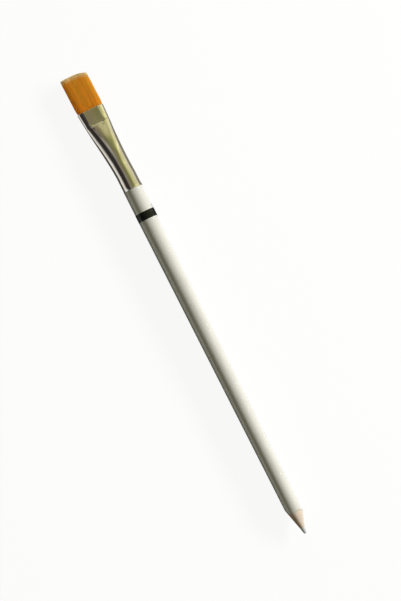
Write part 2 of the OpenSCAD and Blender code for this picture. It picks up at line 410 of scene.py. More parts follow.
class Look(Nodes):
    """A material with a Principled shader, and patterns on the Object coordinates."""

    EVEN = (1, 1, 1)

    def __init__(self, name):
        self.material = bpy.data.materials.new(name)
        self.material.use_nodes = True
        super().__init__(self.material.node_tree)
        self.shader = self.tree.nodes["Principled BSDF"]
        self.place = self.add("ShaderNodeTexCoord", output="Object")

    def noise(self, scale, size, detail, roughness=0.55):
        """Noise that is stretched by scale. size is in cells a metre."""
        spread = self.add("ShaderNodeMapping", {"Vector": self.place, "Scale": scale})
        sockets = {"Vector": spread, "Scale": size, "Detail": detail, "Roughness": roughness}
        return self.add("ShaderNodeTexNoise", sockets, "Fac")

    def done(self, sockets, height, distance, strength=1.0):
        """Fills the shader's inputs, bumps it by height and gives the material."""
        sockets["Normal"] = self.add(
            "ShaderNodeBump", {"Height": height, "Distance": distance, "Strength": strength})
        self.fill(self.shader, sockets)
        return self.material


def bare_nodes(holder):
    """The node tree of a material or world, emptied."""
    holder.use_nodes = True
    holder.node_tree.nodes.clear()
    return Nodes(holder.node_tree)


def rgba(values, factor=1.0):
    return tuple(v * factor for v in values) + (1.0,)


# Materials


def lacquer_material():
    """Glossy white lacquer with a faint unevenness and handling marks"""
    look, finish = Look("white_lacquer"), settings("finish")
    cloud = look.noise((0.25, 1, 1), 420, 3)
    marks = look.noise((0.08, 1, 1), 2600, 2)
    tint = look.blend(cloud.ramp(0.35, 0.7), rgba(finish.lacquer), rgba(finish.lacquer, 0.93))
    tint = look.blend(marks.ramp(0.66, 0.78, 0.0, 0.25), tint, rgba(finish.primer))
    sockets = {
        "Base Color": tint, "Roughness": marks.ramp(0.3, 0.7, 0.12, 0.22),
        "Coat Weight": 0.5, "Coat Roughness": 0.06}
    return look.done(sockets, cloud, 0.00002, 0.6)


def cut_edge_material():
    """The lacquer's cut edge, where its coats and primer show"""
    look, finish = Look("lacquer_cut_edge"), settings("finish")
    grains = look.noise(look.EVEN, 5200, 3)
    tint = look.blend(grains.ramp(0.35, 0.65), rgba(finish.primer), rgba(finish.primer, 0.75))
    return look.done({"Base Color": tint, "Roughness": 0.65}, grains, 0.00003)


def band_material():
    """Glossy black paint with fine brush lines round the barrel"""
    look, finish = Look("black_band"), settings("finish")
    lines = look.noise((1, 0.05, 0.05), 9000, 2)
    cloud = look.noise(look.EVEN, 900, 3)
    sockets = {
        "Base Color": look.blend(cloud.ramp(0.4, 0.7), rgba(finish.band), rgba(finish.band, 2.4)),
        "Roughness": cloud.ramp(0.3, 0.7, 0.2, 0.36), "Specular IOR Level": 0.25}
    return look.done(sockets, lines, 0.00001, 0.5)


def wood_material():
    """Bare straight-grained wood, cut across by the sharpener, with painted shade: a redder,
    darker wood colour down the -Y side, away from the lamp
    """
    look, finish = Look("bare_wood"), settings("finish")
    grain = look.noise((0.06, 1, 1), 2600, 4, 0.6)
    fibre = look.noise((0.03, 1, 1), 11000, 2)
    cloud = look.noise((0.4, 1, 1), 700, 2)
    tint = look.blend(grain.ramp(0.45, 0.75, 0.0, 0.75), rgba(finish.wood), rgba(finish.grain))
    tint = look.blend(cloud.ramp(0.3, 0.75, 0.0, 0.35), tint, rgba(finish.wood, 1.12))
    tint = look.blend(fibre.ramp(0.5, 0.75, 0.0, 0.3), tint, rgba(finish.grain, 0.8))
    # Painted shade: the wood turns redder and darker towards -Y, the side away from the lamp
    side = look.place.axes()[1] + (cloud - 0.5) * 0.001
    tint = look.blend(side.ramp(0.0003, -0.0011, 0.0, 0.85), tint, rgba(finish.painted_shade_wood))
    sockets = {"Base Color": tint, "Roughness": fibre.ramp(0.3, 0.7, 0.62, 0.85)}
    return look.done(sockets, fibre + grain * 0.6, 0.00003, 0.8)


def eraser_material():
    """Soft pale eraser, rubbed grey at its tip"""
    look, finish = Look("eraser"), settings("finish")
    grains = look.noise(look.EVEN, 6500, 4, 0.65)
    cloud = look.noise(look.EVEN, 1300, 2)
    tip_x = tip_place(settings("barrel"), settings("point"))
    rubbed = (look.place.axes()[0] + cloud * 0.0006).ramp(tip_x - 0.0012, tip_x + 0.0001)
    tint = look.blend(grains.ramp(0.35, 0.7), rgba(finish.eraser), rgba(finish.eraser, 0.88))
    sockets = {
        "Base Color": look.blend(rubbed * 0.5, tint, rgba(finish.smudge)), "Roughness": 0.82,
        "Subsurface Weight": 0.08, "Subsurface Scale": 0.0003}
    return look.done(sockets, grains, 0.00004)


def ferrule_material():
    """Bright plated sheet with fine lines drawn along it and a little tarnish"""
    look, finish = Look("plated_ferrule"), settings("finish")
    drawn = look.noise((0.015, 1, 1), 7000, 3)
    cloud = look.noise((0.5, 1, 1), 380, 3)
    specks = look.noise(look.EVEN, 5200, 2)
    tint = look.blend(cloud.ramp(0.35, 0.75), rgba(finish.metal), rgba(finish.tarnish))
    sockets = {
        "Base Color": look.blend(specks.ramp(0.68, 0.8, 0.0, 0.5), tint, rgba(finish.speck)),
        "Roughness": drawn.ramp(0.3, 0.7, 0.07, 0.13) + cloud.ramp(0.5, 0.8, 0.0, 0.06),
        "Metallic": 1.0}
    return look.done(sockets, drawn + cloud * 6.0, 0.000006, 0.6)


def bristle_material():
    """Dyed filaments: each has its own shade, and their worn ends are pale"""
    look, finish = Look("bristle"), settings("finish")
    tone = look.add("ShaderNodeAttribute", output="Fac", attribute_name="tone")
    along = look.add("ShaderNodeAttribute", output="Fac", attribute_name="along")
    streak = look.noise((0.03, 1, 1), 900, 3)
    tint = look.blend(
        along.ramp(0.2, 0.55), rgba(finish.bristle_root), rgba(finish.bristle_body))
    tint = look.blend(tone.ramp(0.4, 1.0, 0.0, 0.35), tint, rgba(finish.bristle_dark))
    tint = look.blend(streak.ramp(0.45, 0.7, 0.0, 0.7), tint, rgba(finish.bristle_gold))
    worn = (along + tone * 0.03).ramp(0.915, 0.985)
    tint = look.blend(worn, tint, rgba(finish.bristle_tip))
    surface = Value(look, look.shader.outputs[0])
    through = look.add("ShaderNodeBsdfTranslucent", {"Color": tint})
    both = look.add("ShaderNodeMixShader", {0: finish.bristle_through, 1: surface, 2: through})
    look.fill(look.tree.nodes["Material Output"], {"Surface": both})
    sockets = {
        "Base Color": tint, "Roughness": 0.5, "Specular IOR Level": 0.2,
        "Sheen Weight": 0.6, "Sheen Roughness": 0.35, "Sheen Tint": rgba(finish.bristle_body)}
    return look.done(sockets, look.noise((0.03, 1, 1), 9000, 1), 0.000003)


def plain_material(name, tint, roughness):
    """A hidden piece's finish: one colour, clouded a little"""
    look = Look(name)
    cloud = look.noise(look.EVEN, 1500, 3)
    tint = look.blend(cloud.ramp(0.3, 0.7), rgba(tint), rgba(tint, 0.7))
    return look.done({"Base Color": tint, "Roughness": roughness}, cloud, 0.00003)


# Shapes that several pieces share


def cone_slope(point):
    return math.tan(point.cone_angle / 2)


def tip_place(barrel, point):
    cone = (barrel.edge_radius - point.core_radius) / cone_slope(point)
    return barrel.edge_x + cone + point.core_out


def wood_end(barrel, point):
    return tip_place(barrel, point) - point.core_out


def barrel_radius(barrel, x):
    """Radius over the lacquer at x: straight on the seat, then an even taper."""
    fall = (barrel.seat_radius - barrel.edge_radius) / (barrel.edge_x - barrel.band_end)
    return barrel.seat_radius - fall * np.maximum(0.0, x - barrel.band_end)


def cut_edge(barrel, point, angles):
    """Place of the lacquer's cut edge at each angle round the barrel."""
    dip = point.cut_dip * np.exp(-((angles - point.dip_turn) / point.dip_spread) ** 2)
    bows = point.cut_lean * np.cos(angles) + point.cut_scallop * np.cos(3 * angles)
    return barrel.edge_x + bows - dip + point.cut_wander * wander(angles, 3)


class FerruleShape:
    """Sections of the ferrule, counted by their distance s from the lip towards the brush."""

    FLAT_SHARE, FLAT_START = 0.1, 0.1  # where the flat faces begin, and how softly
    FALL_SHARE, WIDEN_LATE = 0.75, 1.15  # where the height's fall gets even, delay of the width
    SKEW_REACH, SKEW_EARLY = 0.75, 0.7  # how the skew comes and goes along the taper
    MARK_FADE = 0.002  # length over which the marks beside the crimp come in
    # The marks across a face: places and widths as shares of its half, but the width of the
    # lines and of the crease's step in metres
    CROWN_WIDTH, CREASE_WIDTH = 1.3, 1.2
    BEAD_PLACE, BEAD_WIDTH = 0.97, 0.0003
    CREASE_PLACE, CREASE_STEP = 0.3, 0.0006
    CRIMP_EDGE, CRIMP_SOFT = 1.02, 0.35
    ROUND_STEPS, FLAT_STEPS = 720, 60  # points of the first outline, before it is evened out

    def __init__(self, ferrule, barrel):
        self.f = ferrule
        self.lip_x = barrel.lip_x
        self.crimp_s = ferrule.length - ferrule.crimp_back

    def half_width(self, s):
        f = self.f
        v = np.clip((s - f.neck) / (f.length - f.neck), 0, 1) ** self.WIDEN_LATE
        return mix(f.radius, f.mouth_width / 2, (ease(v) + v) / 2)

    def flare(self, s):
        return self.f.lip_flare * np.maximum(0, 1 - s / self.f.lip_length) ** 2

    def half_height(self, s):
        f, k = self.f, self.FALL_SHARE
        t = np.clip((s - f.neck) / (self.crimp_s - f.neck), 0, 1)
        fall = np.where(t < k, t * t / (k * (2 - k)), (2 * t - k) / (2 - k))
        height = mix(f.radius, f.mouth_height / 2 + f.mouth_pinch, fall)
        return height - f.mouth_pinch * np.clip((s - self.crimp_s) / f.crimp_back, 0, 1)

    def groove(self, s, across):
        """The crimp's depth, 1 at its bottom. It arches towards the mouth."""
        arch = self.f.crimp_arch * np.clip(1 - across ** 2, 0, None)
        away = (s - self.crimp_s - arch) / (self.f.crimp_width / 2)
        return np.maximum(0, 1 - away ** 2) ** 2

    def flatness(self, s):
        """0 where the ferrule is round, 1 from the crimp to the mouth."""
        start = mix(self.f.neck, self.crimp_s, self.FLAT_SHARE)
        t, k = np.clip((s - start) / (self.crimp_s - start), 0, 1), self.FLAT_START
        return float((np.hypot(t, k) - k) / (math.hypot(1, k) - k))

    def past_crimp(self, s):
        """0 on the tapering faces, 1 on the mouth's faces."""
        return float(ease((s - self.crimp_s) / self.f.crimp_width + 0.5))

    def half_flat(self, s):
        f = self.f
        taper = f.taper_flat / 2 * self.flatness(s)
        share = np.clip((s - self.crimp_s) / f.crimp_back, 0, 1)
        mouth = mix(f.crimp_flat, f.mouth_flat, share) / 2
        return mix(taper, mouth, self.past_crimp(s))

    def middle(self, s):
        """Sideways place of the section's middle."""
        f = self.f
        bend_end = f.length * 2 / 3
        tenon = settings("point").tenon_length
        lean = -math.tan(f.neck_lean) * np.maximum(0, np.minimum(s, bend_end) - tenon)
        return lean - math.tan(f.head_lean) * np.maximum(0, s - bend_end)

    def roll(self, s):
        return self.f.roll * float(ease(self.flatness(s)))

    def skew(self, s):
        turn = self.SKEW_REACH * math.pi * self.flatness(s) ** self.SKEW_EARLY
        return self.f.skew * math.sin(turn) * (1 - self.past_crimp(s))

    def relief(self, s, y, c):
        """What the press left on the flat faces: a crown, side lines, a crease and the crimp."""
        f, share = self.f, self.flatness(s)
        crown = f.crown * share * np.clip(1 - (y / (c * self.CROWN_WIDTH)) ** 2, 0, None)
        line = np.exp(-((np.abs(y) - self.BEAD_PLACE * c) / self.BEAD_WIDTH) ** 2)
        bead = f.bead * float(ease((s - self.crimp_s) / self.MARK_FADE)) * line
        fade = share * ease((self.crimp_s - s) / self.MARK_FADE)
        step = np.tanh((y - self.CREASE_PLACE * c) / self.CREASE_STEP)
        crease = -f.ripple * fade * step * np.exp(-(y / (c * self.CREASE_WIDTH)) ** 2)
        soft = ease((self.CRIMP_EDGE - np.abs(y) / c) / self.CRIMP_SOFT)
        crimp = -f.crimp_depth * self.groove(s, y / c) * soft
        return crown + bead + crease + crimp

    def ring(self, s, inset, n):
        """n points round the section at s, at even distances round its outline."""
        a = (np.arange(self.ROUND_STEPS) + 0.5) * math.tau / self.ROUND_STEPS
        c, k = float(self.half_flat(s)), self.skew(s)
        w = float(self.half_width(s) + self.flare(s)) - inset
        h = float(self.half_height(s) + self.flare(s)) - inset
        side = np.sign(np.cos(a))
        lift = self.f.lip_lift * max(0.0, 1 - s / self.f.lip_reach) ** 2
        lift = lift * np.maximum(0, np.cos(a)) ** 2
        y = k + side * c + (w - c - side * k) * np.cos(a) + lift
        z = h * np.sin(a)
        if c > 0:
            flat = np.linspace(c, -c, self.FLAT_STEPS)[1:-1]
            top = np.searchsorted(a, math.pi / 2)
            low = np.searchsorted(a, 1.5 * math.pi)
            y = np.concatenate([y[:top], k + flat, y[top:low], k - flat, y[low:]])
            level = np.full(flat.shape, h)
            z = np.concatenate([z[:top], level, z[top:low], -level, z[low:]])
            z = z + np.sign(z) * self.relief(s, y - k, c)
            roll = self.roll(s)
            cosine, sine = math.cos(roll), math.sin(roll)
            y, z = y * cosine + z * sine, z * cosine - y * sine
        loop_y, loop_z = np.append(y, y[0]), np.append(z, z[0])
        run = np.concatenate([[0], np.cumsum(np.hypot(np.diff(loop_y), np.diff(loop_z)))])
        at = np.arange(n) / n * run[-1]
        return np.stack([
            np.full(n, self.lip_x - s),
            float(self.middle(s)) + np.interp(at, run, loop_y),
            np.interp(at, run, loop_z)], 1)


def hand_over(piece, slot, *nodes):
    """Rides the piece on the body and hides the nodes that it stands for."""
    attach(piece, BODY)
    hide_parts(*nodes)


def build(node, slot, surface, material, *sharp):
    """Makes the fine mesh of one node from its points and faces, and hands it over."""
    hand_over(mesh_piece(node + "_fine", *surface, material, *sharp), slot, node)


# Operators, one for each piece, one for the casing's two halves and one for the stage


class PENCIL_OT_lacquer(Operator):
    """Build the lacquer coat, with its leaning cut edge"""

    bl_idname = "eraser_pencil.lacquer"
    bl_label = "Lacquer Coat"
    bl_options = {"REGISTER", "UNDO"}

    # The faces that get the cut edge's look: how far back they may lie, and their least tilt
    EDGE_REACH, EDGE_TILT = 0.004, 0.15
    # Shares of the coat's thickness: the rounding at the ferrule, the rings down the cut edge
    # and how far the first of these is drawn back
    RIM, CUT_RINGS, CUT_SOFTEN = 0.25, (0.0, 0.03, 0.4, 1.0), 0.12

    def execute(self, context):
        barrel, point = settings("barrel"), settings("point")
        turns = all_round(AROUND)
        start, top, coat = barrel.lip_x, barrel.seat_radius, barrel.lacquer
        edge, slope = cut_edge(barrel, point, turns), cone_slope(point)
        rim = coat * self.RIM
        profile = [(start, top - coat), (start, top - rim), (start + rim, top)]
        places = [mix(start, barrel.band_end, t) for t in np.linspace(0.0, 1.0, 6)[1:]]
        places += [mix(barrel.band_end, edge, t) for t in np.linspace(0.0, 1.0, 41)[1:-1]]
        profile += [(x, barrel_radius(barrel, x)) for x in places]
        for depth in self.CUT_RINGS:
            soften = self.CUT_SOFTEN * (depth == 0.0)
            x = edge + coat * (depth / slope - soften)
            profile.append((x, barrel_radius(barrel, edge) - coat * depth))
        back = [mix(profile[-1][0], start, t) for t in (0.5, 0.95)]
        profile += [(x, barrel_radius(barrel, x) - coat) for x in back]
        surface = skin(turned(profile, turns), closed_along=True)
        piece = mesh_piece("lacquer_coat_fine", *surface, lacquer_material())
        piece.data.materials.append(cut_edge_material())
        least = barrel.edge_radius - coat - 1e-5
        for face in piece.data.polygons:
            x, y, z = face.center
            tilted = face.normal.x > self.EDGE_TILT
            if tilted and x > barrel.edge_x - self.EDGE_REACH and math.hypot(y, z) > least:
                face.material_index = 1
        hand_over(piece, "white_lacquer", "lacquer_coat")
        return {"FINISHED"}


class PENCIL_OT_band(Operator):
    """Build the painted band, with rounded and slightly wandering edges"""

    bl_idname = "eraser_pencil.band"
    bl_label = "Black Band"
    bl_options = {"REGISTER", "UNDO"}

    UNDER = 0.3  # how deep the band's underside lies in the lacquer, as a share of the coat

    def execute(self, context):
        barrel = settings("barrel")
        turns = all_round(AROUND)
        low, high = barrel.seat_radius, barrel.band_height
        start = barrel.band_start + barrel.band_wander * (1 + wander(turns, 11, 9))
        end = barrel.band_end - barrel.band_wander * (1 + wander(turns, 12, 9))
        under = low - barrel.lacquer * self.UNDER
        profile = [(start, under)]
        for a in np.linspace(0, math.pi / 2, 6):
            profile.append((start + high * (1 - math.cos(a)), low + high * math.sin(a)))
        for t in np.linspace(0, 1, 9)[1:-1]:
            profile.append((mix(start + high, end - high, t), low + high))
        for a in np.linspace(math.pi / 2, 0, 6):
            profile.append((end - high * (1 - math.cos(a)), low + high * math.sin(a)))
        profile.append((end, under))
        surface = skin(turned(profile, turns), closed_along=True)
        build("black_band", "black_paint", surface, band_material())
        return {"FINISHED"}


class PENCIL_OT_casing(Operator):
    """Build the two halves of the wooden casing, with the sharpened cone"""

    bl_idname = "eraser_pencil.casing"
    bl_label = "Wooden Casing"
    bl_options = {"REGISTER", "UNDO"}

    CONE_STEPS = 96
    GROOVE_ROOM = 0.00002  # between the core and its groove
    LIP = 0.00004  # thickness of the wood at the cone's end
    # Where the wood ends before the core's bare length, how far that wanders, and its rounding
    END_BACK, END_WANDER, END_ROUND = 0.00012, 0.00005, 0.00006

    def half(self, first):
        """Points and faces of the half whose seam starts at the angle first."""
        barrel, point = settings("barrel"), settings("point")
        turns = first + np.linspace(0, math.pi, AROUND // 2 + 1)
        lip_x, coat = barrel.lip_x, barrel.lacquer
        groove = point.core_radius + self.GROOVE_ROOM
        edge = cut_edge(barrel, point, turns)
        cone_x = edge + coat / cone_slope(point)
        cone_r = barrel_radius(barrel, edge) - coat
        end_x = wood_end(barrel, point) - self.END_BACK + self.END_WANDER * wander(turns, 21, 14)
        tenon_x, tenon_r = lip_x - point.tenon_length, point.tenon_radius
        profile = [
            (tenon_x, groove), (tenon_x, tenon_r), (lip_x, tenon_r),
            (lip_x, barrel.seat_radius - coat)]
        for t in np.linspace(0, 1, 12)[:-1]:
            x = mix(barrel.band_end, cone_x, t)
            profile.append((x, barrel_radius(barrel, x) - coat - 1e-6))
        for i in range(self.CONE_STEPS + 1):
            t = i / self.CONE_STEPS
            x = mix(cone_x, end_x, t)
            fade = min(1.0, 12 * t, 12 * (1 - t))
            ridge = point.ridge_depth * fade * np.sin(math.tau * (x / point.ridge_pitch) + turns)
            profile.append((x, mix(cone_r, groove + self.LIP, t) + ridge))
        profile.append((end_x - self.END_ROUND, groove))
        points, faces = skin(turned(profile, turns), closed_around=False, closed_along=True)
        m, n = len(profile), len(turns)
        faces.append(tuple(i * n for i in range(m)))
        faces.append(tuple(i * n + n - 1 for i in reversed(range(m))))
        return points, faces

    def execute(self, context):
        material = wood_material()
        for node, first in (("casing_upper_half", 0.0), ("casing_lower_half", math.pi)):
            build(node, "bare_wood", self.half(first), material, math.radians(30))
        return {"FINISHED"}


class PENCIL_OT_core(Operator):
    """Build the eraser core, with its worn blunt tip"""

    bl_idname = "eraser_pencil.core"
    bl_label = "Eraser Core"
    bl_options = {"REGISTER", "UNDO"}

    NOSE_START = math.radians(12)  # where the nose takes over from the bare length
    UNEVEN, SWELL = 0.000018, 0.00003  # wear of the bare length
    HIDDEN_BACK = 0.0004  # how far inside the wood the last hidden ring lies

    def execute(self, context):
        barrel, point = settings("barrel"), settings("point")
        turns = all_round(AROUND // 2)
        radius, nose = point.core_radius, point.nose_radius
        tip, bare = tip_place(barrel, point), wood_end(barrel, point)
        shoulder_x = tip - nose * (1 - math.sin(self.NOSE_START))
        shoulder_r = nose * math.cos(self.NOSE_START)
        uneven = self.UNEVEN * wander(turns, 31, 7)
        profile = [(barrel.lip_x - point.tenon_length, radius)]
        for t in np.linspace(0, 1, 8):
            profile.append((mix(barrel.lip_x, bare - self.HIDDEN_BACK, t), radius))
        for t in np.linspace(0, 1, 14):
            r = mix(radius, shoulder_r, t) + self.SWELL * math.sin(math.pi * t)
            profile.append((mix(bare, shoulder_x, t), r + uneven * t))
        for a in np.linspace(self.NOSE_START, math.pi / 2, 12)[1:-1]:
            r = nose * math.cos(a) + uneven * math.cos(a)
            profile.append((tip - nose * (1 - math.sin(a)), r))
        profile.append((tip, 1e-5))
        surface = skin(turned(profile, turns), caps=True)
        build("eraser_core", "eraser_rubber", surface, eraser_material())
        return {"FINISHED"}


class PENCIL_OT_ferrule(Operator):
    """Build the ferrule as one thin smooth sheet, from its round lip to its flat mouth"""

    bl_idname = "eraser_pencil.ferrule"
    bl_label = "Ferrule"
    bl_options = {"REGISTER", "UNDO"}

    RIM = 0.3  # rounding of lip and mouth, as a share of the wall

    def execute(self, context):
        ferrule = settings("ferrule")
        shape = FerruleShape(ferrule, settings("barrel"))
        wall, n = ferrule.wall, ferrule.around
        groove_start = shape.crimp_s - ferrule.crimp_width / 2
        groove_end = shape.crimp_s + ferrule.crimp_width / 2 + ferrule.crimp_arch
        places = np.unique(np.concatenate([
            np.linspace(0, ferrule.lip_length, 8),
            np.linspace(ferrule.lip_length, groove_start, ferrule.along),
            np.linspace(groove_start, groove_end, 28),
            np.linspace(groove_end, ferrule.length, 18)]))
        outside = [shape.ring(s, 0.0, n) for s in places[1:-1]]
        inside = [shape.ring(s, wall, n) for s in places[-2:0:-1]]
        mouth, lip = [], []
        for a in np.linspace(0, math.pi, 7):
            inset = wall / 2 * (1 - math.cos(a))
            back = self.RIM * wall * (1 - math.sin(a))
            mouth.append(shape.ring(ferrule.length - back, inset, n))
            lip.insert(0, shape.ring(back, inset, n))
        surface = skin(outside + mouth + inside + lip, closed_along=True)
        build("ferrule", "plated_ferrule", surface, ferrule_material())
        return {"FINISHED"}


class PENCIL_OT_bristles(Operator):
    """Grow the bristles with Geometry Nodes and keep them as one plain mesh"""

    bl_idname = "eraser_pencil.bristles"
    bl_label = "Bristles"
    bl_options = {"REGISTER", "UNDO"}

    SOCKETS = {int: "NodeSocketInt", float: "NodeSocketFloat"}
    POINTS = 9  # along one bristle
    # Across and through the tuft: how far the roots fill it, and their unevenness in cells
    FILL, JITTER = (0.99, 0.955), (1.1, 0.35)
    # Shares of the free length: where the swelling ends and where the narrowing starts
    SWELL_END, TAPER_START = 0.14, 0.3
    # Clumps: how many there are and how hard the ends are drawn, across and through
    CLUMPS, CLUMP_SIZE, CLUMP_PULL = (5.0, 1.3), 2.2, (4.0, 3.0)
    SWAY = 0.00005  # sideways bow of one bristle
    POINT_START, POINT_LOSS = 0.8, 0.35  # where a bristle gets thinner, and by how much

    def build_tree(self, values):
        """The tree: points over the root's section, a line on each, bent to the brush's shape."""
        tree = bpy.data.node_groups.new("Flat Brush Bristles", "GeometryNodeTree")
        for name, value in values.items():
            kind = self.SOCKETS.get(type(value), "NodeSocketMaterial")
            tree.interface.new_socket(name, in_out="INPUT", socket_type=kind)
        tree.interface.new_socket("Geometry", in_out="OUTPUT", socket_type="NodeSocketGeometry")
        nodes = Nodes(tree)
        given = nodes.add("NodeGroupInput").siblings()

        def chance(low, high, salt):
            sockets = {2: low, 3: high, "Seed": given["Seed"] + salt}
            return nodes.add("FunctionNodeRandomValue", sockets, 1, data_type="FLOAT")

        def keep(geometry, name, value):
            sockets = {"Geometry": geometry, "Name": name, "Value": value}
            options = {"data_type": "FLOAT", "domain": "POINT"}
            return nodes.add("GeometryNodeStoreNamedAttribute", sockets, **options)

        def recall(name):
            return nodes.add("GeometryNodeInputNamedAttribute", {"Name": name}, data_type="FLOAT")

        def place(x, y, z):
            return nodes.add("ShaderNodeCombineXYZ", {0: x, 1: y, 2: z})

        spots = nodes.add("GeometryNodeMeshGrid", {
            "Size X": 2.0, "Size Y": 2.0, "Vertices X": given["Columns"],
            "Vertices Y": given["Rows"]})
        cell = nodes.add("GeometryNodeInputPosition").axes()
        (fill_u, fill_v), (jitter_u, jitter_v) = self.FILL, self.JITTER
        across = cell[0] * fill_u + chance(-jitter_u, jitter_u, 1) / given["Columns"]
        across = across.calc("MINIMUM", 1.0).calc("MAXIMUM", -1.0)
        deep = cell[1] * fill_v + chance(-jitter_v, jitter_v, 2) / given["Rows"]
        for name, value in (
                ("across", across), ("deep", deep), ("tone", chance(0.0, 1.0, 3)),
                ("cut", chance(0.0, 1.0, 4)), ("sway", chance(-1.0, 1.0, 5)),
                ("thick", chance(0.8, 1.15, 6))):
            spots = keep(spots, name, value)
        ends = {"Start": (0.0, 0.0, 0.0), "End": (1.0, 0.0, 0.0)}
        line = nodes.add("GeometryNodeCurvePrimitiveLine", ends)
        line = nodes.add("GeometryNodeResampleCurve", {"Curve": line, "Count": self.POINTS})
        lines = nodes.add("GeometryNodeInstanceOnPoints", {"Points": spots, "Instance": line})
        lines = nodes.add("GeometryNodeRealizeInstances", {0: lines})
        t = nodes.add("GeometryNodeSplineParameter", output="Factor")
        lines = keep(lines, "along", t)

        u, v, mouth = recall("across"), recall("deep"), given["Mouth Share"]
        free = (t - mouth).part_of(1.0 - mouth)
        hidden = t.part_of(mouth)
        belly = (free.part_of(self.SWELL_END) * (math.pi / 2)).calc("SINE")
        taper = (free - self.TAPER_START).part_of(1.0 - self.TAPER_START)

        def spread(way):
            """Half of the tuft's width or height along the bristles: root, mouth, belly, tip."""
            size = given[f"Root Half {way}"]
            stages = (
                (hidden, "Root", "Mouth"), (belly, "Mouth", "Belly"), (taper, "Belly", "Tip"))
            for done, before, after in stages:
                size += done * (given[f"{after} Half {way}"] - given[f"{before} Half {way}"])
            return size

        past_flat = (u.calc("ABSOLUTE") - given["Flat Share"]).part_of(1.0 - given["Flat Share"])
        rounding = (1.0 - past_flat * past_flat).calc("SQRT")

        right, left = u.calc("MAXIMUM", 0.0), (u * -1.0).calc("MAXIMUM", 0.0)
        own = given["Length"] - given["Corner Drop"] * (right * right)
        own = own - given["End Drop"] * left ** 6.0 - given["Scatter"] * recall("cut") ** 3.0
        reach = own * t

        (clumps_u, clumps_v), (pull_u, pull_v) = self.CLUMPS, self.CLUMP_PULL
        sockets = {
            "Vector": place(u * clumps_u, v * clumps_v, 0.0), "Scale": self.CLUMP_SIZE,
            "Detail": 2.0}
        pull = nodes.add("ShaderNodeTexNoise", sockets, "Color").axes()
        late = given["Clump"] * (free * free)
        draw_y = (pull[0] - 0.5) * pull_u * late
        draw_z = (pull[1] - 0.5) * pull_v * late
        sway = recall("sway") * self.SWAY * (free * math.pi).calc("SINE")
        edge_room = 1.0 - u.calc("ABSOLUTE") ** 8.0

        side = u * spread("Width") + edge_room * (draw_y + sway)
        rise = v * rounding * spread("Height") + draw_z
        cosine, sine = given["Roll"].calc("COSINE"), given["Roll"].calc("SINE")
        middle = given["Root Y"] - given["Lean"] * reach
        y = side * cosine + rise * sine + middle
        where = place(given["Root X"] - reach, y, rise * cosine - side * sine)
        lines = nodes.add("GeometryNodeSetPosition", {"Geometry": lines, "Position": where})
        end = (t - self.POINT_START).part_of(1.0 - self.POINT_START) ** 2.0
        scale = recall("thick") * (1.0 - end * self.POINT_LOSS) * given["Bristle Radius"]
        rim = nodes.add("GeometryNodeCurvePrimitiveCircle", {"Resolution": 4, "Radius": 1.0})
        tubes = nodes.add("GeometryNodeCurveToMesh", {
            "Curve": lines, "Profile Curve": rim, "Scale": scale, "Fill Caps": True})
        tubes = nodes.add("GeometryNodeSetShadeSmooth", {"Geometry": tubes, "Shade Smooth": True})
        tubes = nodes.add("GeometryNodeRealizeInstances", {0: tubes})
        dress = {"Geometry": tubes, "Material": given["Material"]}
        nodes.add("NodeGroupOutput", {0: nodes.add("GeometryNodeSetMaterial", dress)})
        return tree

    def execute(self, context):
        barrel, ferrule, brush = settings("barrel"), settings("ferrule"), settings("brush")
        shape = FerruleShape(ferrule, barrel)
        root_s = ferrule.length - brush.root_depth
        whole = brush.out + brush.root_depth
        wall, radius = ferrule.wall, brush.radius
        values = {
            "Columns": brush.columns, "Rows": brush.rows, "Seed": brush.seed,
            "Root X": barrel.lip_x - root_s, "Root Y": float(shape.middle(root_s)),
            "Lean": math.tan(brush.lean), "Roll": ferrule.roll, "Length": whole,
            "Mouth Share": brush.root_depth / whole, "Flat Share": brush.flat_share,
            "Corner Drop": brush.corner_drop, "End Drop": brush.end_drop,
            "Scatter": brush.scatter, "Clump": brush.clump, "Bristle Radius": radius,
            "Material": bristle_material()}
        for way, root, mouth, tip in (
                ("Width", shape.half_width, ferrule.mouth_width, ferrule.mouth_width / 2 - radius),
                ("Height", shape.half_height, ferrule.mouth_height, brush.tip_height / 2)):
            values[f"Root Half {way}"] = float(root(root_s)) - wall - radius
            values[f"Mouth Half {way}"] = mouth / 2 - wall - radius
            values[f"Belly Half {way}"] = mouth / 2 - wall + brush.bulge - radius
            values[f"Tip Half {way}"] = tip
        tree = self.build_tree(values)
        holder = add_object("bristle_holder", bpy.data.meshes.new("bristle_holder"))
        modifier = holder.modifiers.new("Bristles", "NODES")
        modifier.node_group = tree
        for item in tree.interface.items_tree:
            if item.in_out == "INPUT":
                modifier[item.identifier] = values[item.name]
        graph = context.evaluated_depsgraph_get()
        mesh = bpy.data.meshes.new_from_object(holder.evaluated_get(graph))
        if len(mesh.polygons) < brush.columns * brush.rows:
            raise RuntimeError("the bristles came out empty")
        mesh.name = "bristle_tuft_fine"
        piece = add_object("bristle_tuft_fine", mesh)
        bpy.data.objects.remove(holder)
        hand_over(piece, "bristle", "bristle_tuft")
        return {"FINISHED"}


class PENCIL_OT_heel(Operator):
    """Cast the resin plug that holds the bristles' roots in the ferrule"""

    bl_idname = "eraser_pencil.heel"
    bl_label = "Heel Plug"
    bl_options = {"REGISTER", "UNDO"}

    ROOM = 0.00003  # between the plug and the ferrule's inside
    GAP = 0.0001  # between the plug and the bristles' roots

    def execute(self, context):
        ferrule, brush = settings("ferrule"), settings("brush")
        shape = FerruleShape(ferrule, settings("barrel"))
        end = ferrule.length - brush.root_depth - self.GAP
        places = np.linspace(end - brush.heel_length, end, 40)
        rings = [shape.ring(s, ferrule.wall + self.ROOM, AROUND // 2) for s in places]
        material = plain_material("heel_resin", settings("finish").resin, 0.35)
        build("heel_plug", "heel_resin", skin(rings, caps=True), material)
        return {"FINISHED"}


